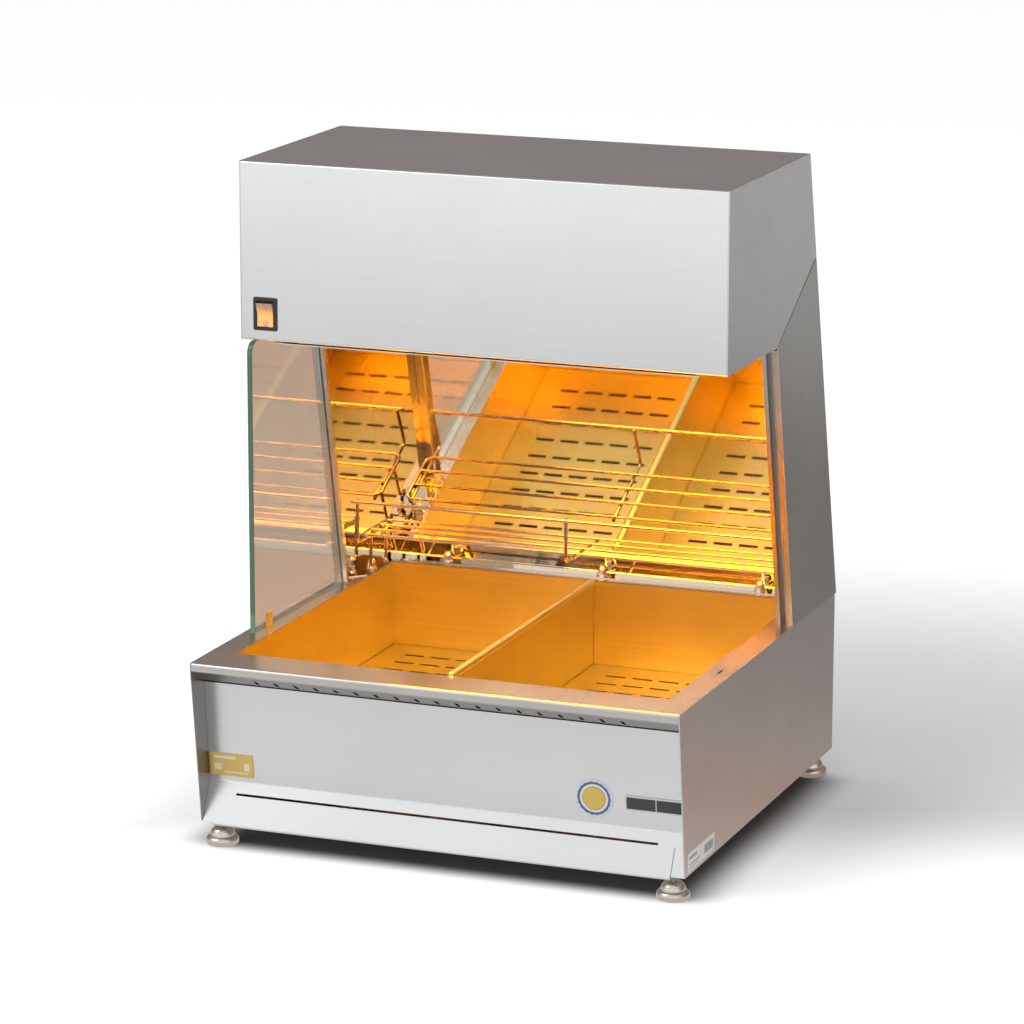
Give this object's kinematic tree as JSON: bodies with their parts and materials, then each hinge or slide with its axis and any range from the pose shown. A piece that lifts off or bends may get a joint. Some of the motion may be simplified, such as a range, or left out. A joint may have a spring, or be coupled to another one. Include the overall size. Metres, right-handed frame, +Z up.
{
  "type": "heat lamp warmer",
  "caption": "Countertop fried-food warmer with a divided well, mirrored leaning back, wire rack, lamp canopy, side glass and pull-out crumb tray.",
  "frame": {"origin": "on the counter surface, at the middle of the outline seen from above", "axes": "+X to the right seen from the serving side, +Y to the back, +Z up; the serving side faces -Y"},
  "size_m": [0.56, 0.551, 0.7395],
  "materials": {
    "brushed_stainless": "fine lengthwise brushing",
    "mirror_stainless": "polished",
    "plated_wire": "bright plated",
    "foot_metal": "bright nickel",
    "fastener_steel": "bright",
    "clear_glass": "clear with green edges",
    "quartz_tube": "lit quartz tube",
    "white_ceramic": "glazed ceramic",
    "black_plastic": "moulded",
    "amber_plastic": "translucent, lit",
    "cream_plastic": "moulded",
    "black_nylon": "moulded",
    "plate_metal": "satin, blank"
  },
  "bodies": {
    "base": {"bottom_plate": "brushed_stainless", "cable_gland": "black_nylon", "canopy_floor": "brushed_stainless", "canopy_rear": "brushed_stainless", "canopy_side_left": "brushed_stainless", "canopy_side_right": "brushed_stainless", "canopy_wrap": "brushed_stainless", "cap_nuts": "fastener_steel", "column_skin_left": "brushed_stainless", "column_skin_right": "brushed_stainless", "deck_screws": "fastener_steel", "foot_sockets": "fastener_steel", "front_panel": "brushed_stainless", "gland_locknut": "black_nylon", "glass_channel_left": "brushed_stainless", "glass_channel_right": "brushed_stainless", "glass_clip": "brushed_stainless", "glass_pane": "clear_glass", "lamp_holders": "white_ceramic", "lamp_tube_front": "quartz_tube", "lamp_tube_rear": "quartz_tube", "mirror_back": "mirror_stainless", "mirror_side_left": "mirror_stainless", "mirror_side_right": "mirror_stainless", "nameplate": "plate_metal", "rear_cover": "brushed_stainless", "rear_panel": "brushed_stainless", "rear_screws": "fastener_steel", "reflector_pan": "mirror_stainless", "side_panel_left": "brushed_stainless", "side_panel_right": "brushed_stainless", "switch_bezel": "black_plastic", "switch_body": "black_plastic", "terminal_block": "cream_plastic", "top_deck": "brushed_stainless", "tray_rails": "brushed_stainless", "weld_studs": "fastener_steel", "well_tub": "brushed_stainless"},
    "divider": {"divider": "brushed_stainless"},
    "drain_left": {"drain_plate_left": "brushed_stainless"},
    "drain_right": {"drain_plate_right": "brushed_stainless"},
    "tray": {"crumb_tray": "brushed_stainless", "tray_front": "brushed_stainless"},
    "rack": {"rack_floor_wires": "plated_wire", "rack_cross_wires": "plated_wire", "rack_rail": "plated_wire", "rack_legs": "plated_wire"},
    "rocker": {"switch_rocker": "amber_plastic"},
    "foot_front_left": {"foot_pad_front_left": "foot_metal", "foot_stem_front_left": "foot_metal"},
    "foot_front_right": {"foot_pad_front_right": "foot_metal", "foot_stem_front_right": "foot_metal"},
    "foot_rear_left": {"foot_pad_rear_left": "foot_metal", "foot_stem_rear_left": "foot_metal"},
    "foot_rear_right": {"foot_pad_rear_right": "foot_metal", "foot_stem_rear_right": "foot_metal"}
  },
  "joints": [
    {"name": "tray_slide", "type": "slide", "parent": "base", "child": "tray", "axis": [0, -1, 0], "range_m": [0, 0.35]},
    {"name": "divider_lift", "type": "slide", "parent": "base", "child": "divider", "axis": [0, 0, 1], "range_m": [0, 0.04]},
    {"name": "drain_left_lift", "type": "slide", "parent": "base", "child": "drain_left", "axis": [0, 0, 1], "range_m": [0, 0.09]},
    {"name": "drain_right_lift", "type": "slide", "parent": "base", "child": "drain_right", "axis": [0, 0, 1], "range_m": [0, 0.09]},
    {"name": "rack_lift", "type": "slide", "parent": "base", "child": "rack", "axis": [0, -0.2384, 0.9712], "range_m": [0, 0.15]},
    {"name": "switch_rock", "type": "hinge", "parent": "base", "child": "rocker", "pos_m": [-0.2504, -0.1295, 0.5726], "axis": [1, 0, 0], "range_deg": [-16, 0]},
    {"name": "foot_turn_front_left", "type": "hinge", "parent": "base", "child": "foot_front_left", "pos_m": [-0.2617, -0.2369, 0.02], "axis": [0, 0, 1], "continuous": true},
    {"name": "foot_turn_front_right", "type": "hinge", "parent": "base", "child": "foot_front_right", "pos_m": [0.2617, -0.2369, 0.02], "axis": [0, 0, 1], "continuous": true},
    {"name": "foot_turn_rear_left", "type": "hinge", "parent": "base", "child": "foot_rear_left", "pos_m": [-0.2617, 0.2495, 0.02], "axis": [0, 0, 1], "continuous": true},
    {"name": "foot_turn_rear_right", "type": "hinge", "parent": "base", "child": "foot_rear_right", "pos_m": [0.2617, 0.2495, 0.02], "axis": [0, 0, 1], "continuous": true}
  ]
}
